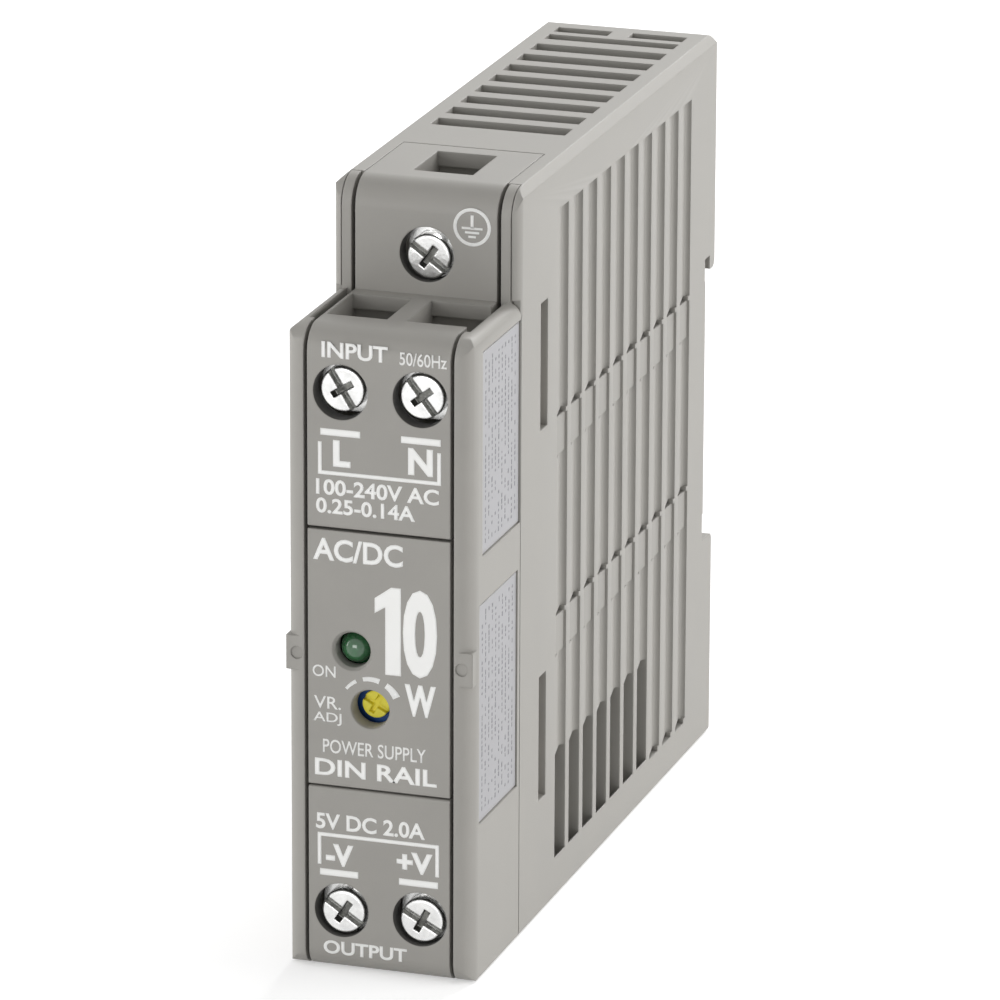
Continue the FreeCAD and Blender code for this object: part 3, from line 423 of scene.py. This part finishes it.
def inked(outline, face=front_face):
    """Filled outline of (from left, over base) points in mm."""
    mesh = bpy.data.meshes.new("line")
    near = face - ink_thickness / 2
    count = len(outline)
    points = [((left_edge + x) * MM, (near + depth) * MM, (base_level + z) * MM)
              for depth in (0, ink_thickness) for x, z in outline]
    sides = [(i, (i + 1) % count, (i + 1) % count + count, i + count) for i in range(count)]
    ends = [list(range(count)), list(reversed(range(count, 2 * count)))]
    mesh.from_pydata(points, [], ends + sides)
    shape = bmesh.new()
    shape.from_mesh(mesh)
    bmesh.ops.recalc_face_normals(shape, faces=shape.faces)
    shape.to_mesh(mesh)
    shape.free()
    ink_meshes.append(mesh)


def bar(sides, middle, thickness, face=front_face):
    """Level line between two sides, centred on a height."""
    low, high = middle - thickness / 2, middle + thickness / 2
    inked([(sides[0], low), (sides[1], low), (sides[1], high), (sides[0], high)], face)


def arc(centre, radius, start, end, thickness, steps=12, face=front_face):
    """Curved line from start to end in degrees, with its thickness at each end."""
    inner, outer = [], []
    for step in range(steps + 1):
        share = step / steps
        angle = math.radians(start + (end - start) * share)
        half_line = (thickness[0] + (thickness[1] - thickness[0]) * share) / 2
        for line, reach in ((inner, radius - half_line), (outer, radius + half_line)):
            line.append((centre[0] + reach * math.cos(angle), centre[1] + reach * math.sin(angle)))
    for step in range(steps):
        inked([inner[step], inner[step + 1], outer[step + 1], outer[step]], face)


bold = 0.028
printed("INPUT", (4.46, 12.36), 74.58, 1.9, weight=bold)
printed("50/60Hz", (13.74, 19.36), 74.35, 1.55, weight=0.4 * bold)
bar((4.30, 9.06), 64.90, 0.8)
bar((13.92, 18.64), 64.86, 0.8)
printed("L", (5.8, 7.9), 62.45, 3.15, weight=1.7 * bold)
printed("N", (14.75, 17.72), 62.39, 3.2, weight=1.7 * bold)
printed("100-240V AC", (3.75, 18.43), 58.39, 1.9, weight=bold)
printed("0.25-0.14A", (3.74, 15.58), 56.17, 1.84, weight=bold)
printed("AC/DC", (3.36, 14.15), 50.97, 2.7, weight=bold)
inked([(12.02, 36.70), (13.91, 36.70), (13.91, 47.20), (12.75, 47.20), (10.75, 45.75), (10.75, 43.95),
       (12.02, 44.75)])
printed("0", (14.12, 18.24), 41.95, 10.5, weight=1.7 * bold)
printed("W", (14.33, 18.11), 33.95, 3.85, weight=1.7 * bold)
printed("ON", (3.26, 6.04), 36.35, 1.4, weight=0.3 * bold)
printed("VR.", (3.42, 6.68), 32.59, 1.5, weight=0.3 * bold)
printed("ADJ", (3.35, 6.75), 30.66, 1.5, weight=0.3 * bold)
printed("POWER SUPPLY", (4.48, 16.92), 27.37, 1.67, weight=0.3 * bold)
printed("DIN RAIL", (3.5, 18.22), 24.79, 2.06, weight=bold)
printed("5V DC 2.0A", (3.6, 16.8), 18.21, 1.97, weight=bold)
printed("-V", (4.78, 8.15), 14.19, 2.7, weight=1.7 * bold)
printed("+V", (13.37, 17.72), 14.28, 2.6, weight=1.7 * bold)
bar((4.07, 8.73), 12.0, 0.8)
bar((13.66, 18.38), 11.87, 0.8)
printed("OUTPUT", (4.47, 14.63), 2.85, 1.66, weight=bold)

bracket_line = 0.45
for left, right, edge_height, end_height in ((4.0, 18.67, 59.85, 63.7), (3.8, 18.5, 16.8, 12.9)):
    inner_height = edge_height + math.copysign(bracket_line, end_height - edge_height)
    inner_left, inner_right = left + bracket_line, right - bracket_line
    inked([(left, edge_height), (right, edge_height), (right, end_height), (inner_right, end_height),
           (inner_right, inner_height), (inner_left, inner_height), (inner_left, end_height),
           (left, end_height)])

adjuster_place = (10.2, 32.35)
dash_radius = 3.6
for start, end, thickness in ((143, 118, (0.35, 0.45)), (104, 72, (0.5, 0.65)), (58, 28, (0.7, 0.95))):
    arc(adjuster_place, dash_radius, start, end, thickness)

ground_x, ground_height = 16.77, 85.51
arc((ground_x, ground_height), 2.05, 0, 360, (0.4, 0.4), 48, setback_face)
for reach, rise, thickness in (
    (0.18, 0.65, 1.5), (1.25, -0.15, 0.26), (0.85, -0.65, 0.26), (0.45, -1.15, 0.26),
):
    bar((ground_x - reach, ground_x + reach), ground_height + rise, thickness, setback_face)


def joined(name, meshes, material, node):
    """One piece from several meshes, riding with a node's body."""
    shape = bmesh.new()
    for mesh in meshes:
        shape.from_mesh(mesh)
    whole = bpy.data.meshes.new(name)
    shape.to_mesh(whole)
    shape.free()
    whole.materials.append(material)
    piece = bpy.data.objects.new(name, whole)
    scene.collection.objects.link(piece)
    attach(piece, body_of(node))
    return piece


joined("front_print", ink_meshes, ink, "name_panel")


# ---- Side labels ------------------------------------------------------------
# Two silver polyester labels in shallow recesses of the right cheek, with a
# bright rim. They are printed with upright rows of small grey wording, made
# here as plain unreadable dashes of ink.

label_film = finish("label_film", (0.350, 0.348, 0.362), 0.38, grain=0.3, relief=0.004, patch=5,
                    uneven=0.05, worn=(0.62, 0.62, 0.62), wear=0.8, wear_width=0.35)
label_ink = finish("label_ink", (0.225, 0.225, 0.240), 0.45, grain=0.2, relief=0.002,
                   uneven=0.12, wear=0.0)


def grown(name, build, sizes, material, node):
    """Piece made by Geometry Nodes: build(tree, given) makes the mesh from named sizes in metres."""
    tree = bpy.data.node_groups.new(name, "GeometryNodeTree")
    for size, value in sizes.items():
        kind = {int: "Int", float: "Float"}.get(type(value), "Vector")
        tree.interface.new_socket(name=size, in_out="INPUT", socket_type="NodeSocket" + kind)
    tree.interface.new_socket(name="Geometry", in_out="OUTPUT", socket_type="NodeSocketGeometry")
    given = add(tree, "NodeGroupInput").outputs
    made = build(tree, given)
    solid = add(tree, "GeometryNodeRealizeInstances", {0: made})
    painted = add(tree, "GeometryNodeSetMaterial", {0: solid.outputs[0], "Material": material})
    add(tree, "NodeGroupOutput", {0: painted.outputs[0]})
    carrier = bpy.data.objects.new(name, bpy.data.meshes.new(name))
    scene.collection.objects.link(carrier)
    modifier = carrier.modifiers.new(name, "NODES")
    modifier.node_group = tree
    for item in tree.interface.items_tree:
        if item.in_out == "INPUT":
            modifier[item.identifier] = sizes[item.name]
    mesh = evaluated_mesh(carrier)
    carrier.modifiers.clear()
    carrier.data = mesh
    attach(carrier, body_of(node))
    return carrier


def wording_rows(tree, given):
    """Upright rows of dashes of random length, with gaps between words."""
    grid = add(tree, "GeometryNodeMeshGrid", {
        "Size X": given["Height"], "Size Y": given["Width"],
        "Vertices X": given["Dashes"], "Vertices Y": given["Rows"],
    })
    gaps = add(tree, "FunctionNodeRandomValue", {"Probability": 0.22, "Seed": 4}, data_type="BOOLEAN")
    kept = add(tree, "GeometryNodeDeleteGeometry", {0: grid.outputs[0], 1: gaps.outputs[3]}, domain="POINT")
    points = add(tree, "GeometryNodeMeshToPoints", {0: kept.outputs[0]})
    dash = add(tree, "GeometryNodeMeshCube", {"Size": given["Dash"]})
    length = add(tree, "FunctionNodeRandomValue",
                 {0: (0.35, 0.5, 1.0), 1: (1.0, 1.0, 1.0), "Seed": 9}, data_type="FLOAT_VECTOR")
    dashes = add(tree, "GeometryNodeInstanceOnPoints", {
        "Points": points.outputs[0], "Instance": dash.outputs[0], "Scale": length.outputs[0],
    })
    placed = add(tree, "GeometryNodeTransform", {
        0: dashes.outputs[0], "Translation": given["Centre"], "Rotation": (0.0, -math.pi / 2, 0.0),
    })
    return placed.outputs[0]


row_pitch = 1.05 * MM
dash_pitch = 0.7 * MM
dash_size = Vector((0.64, 0.42, 0.02)) * MM
label_edge = 1.3 * MM
for node in ("upper_label", "lower_label"):
    refined(node, [label_film])
    low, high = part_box(node)
    wide = high.y - low.y - 2 * label_edge
    tall = high.z - low.z - 2 * label_edge
    rows = grown(node + "_wording", wording_rows, {
        "Height": tall, "Width": wide, "Dash": dash_size,
        "Dashes": int(tall / dash_pitch), "Rows": int(wide / row_pitch),
        "Centre": Vector((high.x, (low.y + high.y) / 2, (low.z + high.z) / 2)),
    }, label_ink, node)


# ---- Terminal screws and washers --------------------------------------------
# Combination-head M3 screws with captive square washers, of steel, zinc plated
# and bright, and the tapped brass plates that they draw up to.

zinc = finish("bright_zinc", (0.76, 0.76, 0.75), 0.22, metal=1.0, grain=0.5, relief=0.012, patch=1.2,
              uneven=0.16, worn=(0.92, 0.92, 0.92), wear=0.5)
# The faces inside the cross recess of each head are a dark zinc: painted shade in the recess.
recess_painted_shade_zinc = finish("recess_painted_shade_zinc", (0.15, 0.15, 0.14), 0.34, metal=1.0, grain=0.3, relief=0.03, patch=0.7,
                     uneven=0.8, worn=(0.8, 0.8, 0.8), wear=0.6, wear_width=0.14)
washer_zinc = finish("washer_zinc", (0.74, 0.74, 0.73), 0.26, metal=1.0, grain=0.4, relief=0.008, patch=2.0,
                     uneven=0.10, worn=(0.92, 0.92, 0.92), wear=0.5)
brass = finish("tinned_brass", (0.70, 0.66, 0.56), 0.30, metal=1.0, grain=0.3, relief=0.006, uneven=0.08)

# The recess of a head, whose faces get the painted shade, in mm behind its front and from its axis
recess_depths = (0.3, 1.45)
recess_reach = 2.55
for name in ("ground", "live", "neutral", "minus", "plus"):
    head = head_of("screw_" + name)

    def inside_recess(middle, normal):
        depth, reach = from_head(middle, head)
        return int(recess_depths[0] < depth < recess_depths[1] and reach < recess_reach)

    refined("screw_" + name, [zinc, recess_painted_shade_zinc], inside_recess, rounding=0.06)
    refined("clamp_washer_" + name, [washer_zinc], rounding=0.08)
    refined("contact_strip_" + name, [brass], rounding=0.05)


# ---- Lamp and voltage adjuster ----------------------------------------------
# A green light-emitting diode with a tinted epoxy lens, and a blue trimming
# resistor with a yellow cross-slotted rotor. Both have tinned leads.

tinned = finish("tinned_lead", (0.78, 0.77, 0.74), 0.28, metal=1.0, grain=0.2, relief=0.004, uneven=0.06)
lens_green = finish("green_epoxy", (0.020, 0.105, 0.036), 0.12, grain=0.8, relief=0.001, patch=1.6,
                    uneven=0.35, wear=0.0, IOR=1.53, Coat_Weight=0.8, Coat_Roughness=0.04)
adjuster_blue = finish("adjuster_blue", (0.025, 0.10, 0.36), 0.38, grain=0.12, relief=0.006, uneven=0.08)
rotor_yellow = finish("rotor_yellow", (0.86, 0.76, 0.05), 0.34, grain=0.12, relief=0.005, uneven=0.06, wear=0.3)
lamp_back = front_face + 3.61
adjuster_back = front_face + 8.21
refined("indicator_lamp", [lens_green, tinned], lambda middle, normal: int(middle.y > lamp_back))
refined("adjuster_body", [adjuster_blue, tinned], lambda middle, normal: int(middle.y > adjuster_back),
        rounding=0.08)
refined("adjuster_rotor", [rotor_yellow], rounding=0.05)


# ---- Rail latch and spring --------------------------------------------------
# Black nylon latch that slides in the rear case's channel, and its round wire
# compression spring, which stays still and does not ride with the latch.

latch_nylon = finish("latch_nylon", (0.030, 0.030, 0.031), 0.48, grain=0.2, relief=0.010, uneven=0.15,
                     wear=0.3, worn=(0.12, 0.12, 0.12))
spring_wire = finish("spring_wire", (0.55, 0.55, 0.56), 0.25, metal=1.0, grain=0.1, relief=0.002, uneven=0.08)
refined("din_latch", [latch_nylon], rounding=0.10)
spring = refined("latch_spring", [spring_wire], sharp=60.0, rides=False)
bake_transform(spring)


# ---- Circuit board ----------------------------------------------------------
# Green glass-epoxy board, upright in the left of the case, drilled for the
# leads, with the insulating sheet that faces the vents on the right.

board_mask = finish("board_mask", (0.020, 0.16, 0.055), 0.32, grain=0.5, relief=0.010, patch=3.0,
                    uneven=0.25)
shield_film = finish("shield_sheet", (0.19, 0.19, 0.18), 0.45, grain=0.25, relief=0.008, uneven=0.06)
refined("main_board", [board_mask])
refined("shield_sheet", [shield_film])


# ---- Parts on the board -----------------------------------------------------
# Each stands on tinned leads through the board: the fuse and the surge parts,
# the chokes, the capacitors, the transformer, the power parts and the chips.

part_standoff = 0.29
lead_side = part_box("main_board")[1].x / MM + part_standoff


def body_and_leads(middle, normal):
    """0 on the body of a part, and 1 on its leads between the body and the board."""
    return int(middle.x < lead_side)


part_finishes = {
    "fuse": finish("fuse_ceramic", (0.62, 0.60, 0.54), 0.35, grain=0.3, relief=0.006),
    "varistor": finish("varistor_blue", (0.03, 0.12, 0.42), 0.35, grain=0.3, relief=0.02, uneven=0.1),
    "thermistor": finish("thermistor_green", (0.04, 0.16, 0.07), 0.42, grain=0.3, relief=0.02, uneven=0.1),
    "safety_capacitor": finish("disc_blue", (0.05, 0.22, 0.50), 0.36, grain=0.3, relief=0.015,
                               uneven=0.1),
    "filter_capacitor": finish("capacitor_grey", (0.36, 0.37, 0.37), 0.42, grain=0.15, relief=0.01),
    "choke_core": finish("ferrite", (0.045, 0.045, 0.048), 0.55, grain=0.08, relief=0.02, uneven=0.3),
    "choke_windings": finish("enamelled_copper", (0.62, 0.22, 0.07), 0.25, metal=1.0, grain=0.5,
                             relief=0.03),
    "bridge_rectifier": finish("chip_black", (0.028, 0.028, 0.030), 0.50, grain=0.10, relief=0.01,
                               uneven=0.2),
    "bulk_capacitor": finish("can_sleeve", (0.03, 0.035, 0.06), 0.30, grain=0.5, relief=0.004,
                             uneven=0.15),
    "transformer_bobbin": finish("bobbin_black", (0.035, 0.034, 0.032), 0.42, grain=0.15, relief=0.01,
                                 uneven=0.15),
    "transformer_winding": finish("winding_tape", (0.72, 0.55, 0.08), 0.30, grain=0.6, relief=0.02,
                                  uneven=0.08),
    "switch_heat_sink": finish("heat_sink", (0.62, 0.62, 0.63), 0.34, metal=1.0, grain=0.2, relief=0.01),
    "resistors": finish("resistor_tan", (0.55, 0.42, 0.26), 0.45, grain=0.2, relief=0.01),
}
like = {
    "transformer_core": "choke_core", "filter_coil_core": "choke_core",
    "filter_coil_winding": "choke_windings", "optocoupler": "bridge_rectifier",
    "control_chip": "bridge_rectifier", "switching_transistor": "bridge_rectifier",
    "output_capacitors": "bulk_capacitor", "diode_heat_sink": "switch_heat_sink",
}
wound = ("choke_windings", "filter_coil_winding")
for node, other in like.items():
    part_finishes[node] = part_finishes[other]
for node, material in part_finishes.items():
    if node not in wound:
        refined(node, [material, tinned], body_and_leads, rounding=0.05)


# ---- Wound coils ------------------------------------------------------------
# The input choke and the output filter coil are ferrite rings wound by hand
# with single turns of enamelled copper wire, side by side round each ring.

copper = part_finishes["choke_windings"]


def ring_turns(tree, given):
    """Turns of wire round a ring's section, spaced from Start by Step round the ring's axis, X."""
    section = add(tree, "GeometryNodeCurvePrimitiveQuadrilateral",
                  {"Width": given["Across"], "Height": given["Thick"]})
    rounded = add(tree, "GeometryNodeFilletCurve",
                  {"Curve": section.outputs[0], "Count": 3, "Radius": given["Bend"]}, mode="POLY")
    at_ring = add(tree, "GeometryNodeTransform", {0: rounded.outputs[0], "Translation": given["Reach"]})
    wire = add(tree, "GeometryNodeCurvePrimitiveCircle", {"Resolution": 8, "Radius": given["Wire"]})
    turn = add(tree, "GeometryNodeCurveToMesh", {0: at_ring.outputs[0], 1: wire.outputs[0]})
    places = add(tree, "GeometryNodeMeshLine", {"Count": given["Turns"], "Offset": (0.0, 0.0, 0.0)})
    index = add(tree, "GeometryNodeInputIndex")
    angle = add(tree, "ShaderNodeMath", {0: index.outputs[0], 1: given["Step"], 2: given["Start"]},
                operation="MULTIPLY_ADD")
    turned = add(tree, "ShaderNodeCombineXYZ", {0: angle.outputs[0]})
    turns = add(tree, "GeometryNodeInstanceOnPoints", {
        "Points": places.outputs[0], "Instance": turn.outputs[0], "Rotation": turned.outputs[0],
    })
    placed = add(tree, "GeometryNodeTransform", {0: turns.outputs[0], "Translation": given["Centre"]})
    return placed.outputs[0]


wire_radius = 0.33 * MM
wire_bend = 0.5 * MM
winding_wall = 0.8 * MM
for node, core, hole, turns_each, arcs in (
    ("choke_windings", "choke_core", 3.4 * MM, 12, 2),
    ("filter_coil_winding", "filter_coil_core", 2.6 * MM, 16, 1),
):
    low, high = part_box(core)
    centre = (low + high) / 2
    outside = (high.y - low.y) / 2 + winding_wall - wire_radius
    inside = hole - winding_wall + wire_radius
    cad_mesh = frame["nodes"][node].data
    mean = sum((v.co for v in cad_mesh.vertices), Vector()) / len(cad_mesh.vertices) - centre
    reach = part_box(node)
    if arcs == 1:
        gap_angle = math.atan2(-mean.z, -mean.y)
        spread = math.radians(290)
        starts = [gap_angle + (2 * math.pi - spread) / 2]
    else:
        gap_angle = math.pi / 2 if reach[1].z - reach[0].z < reach[1].y - reach[0].y else 0.0
        spread = math.radians(132)
        starts = [gap_angle + (math.pi - spread) / 2 + side * math.pi for side in (0, 1)]
    coils = []
    for start in starts:
        coil = grown(node + "_turns", ring_turns, {
            "Across": reach[1].x - reach[0].x - 2 * wire_radius, "Thick": outside - inside,
            "Bend": wire_bend, "Reach": Vector((0, (outside + inside) / 2, 0)), "Wire": wire_radius,
            "Turns": turns_each, "Step": spread / (turns_each - 1), "Start": start, "Centre": centre,
        }, copper, node)
        coils.append(coil)
    whole = joined(node + "_wire", [coil.data for coil in coils], copper, node)
    for coil in coils:
        bpy.data.objects.remove(coil)
    for face in whole.data.polygons:
        face.use_smooth = True
    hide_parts(node)
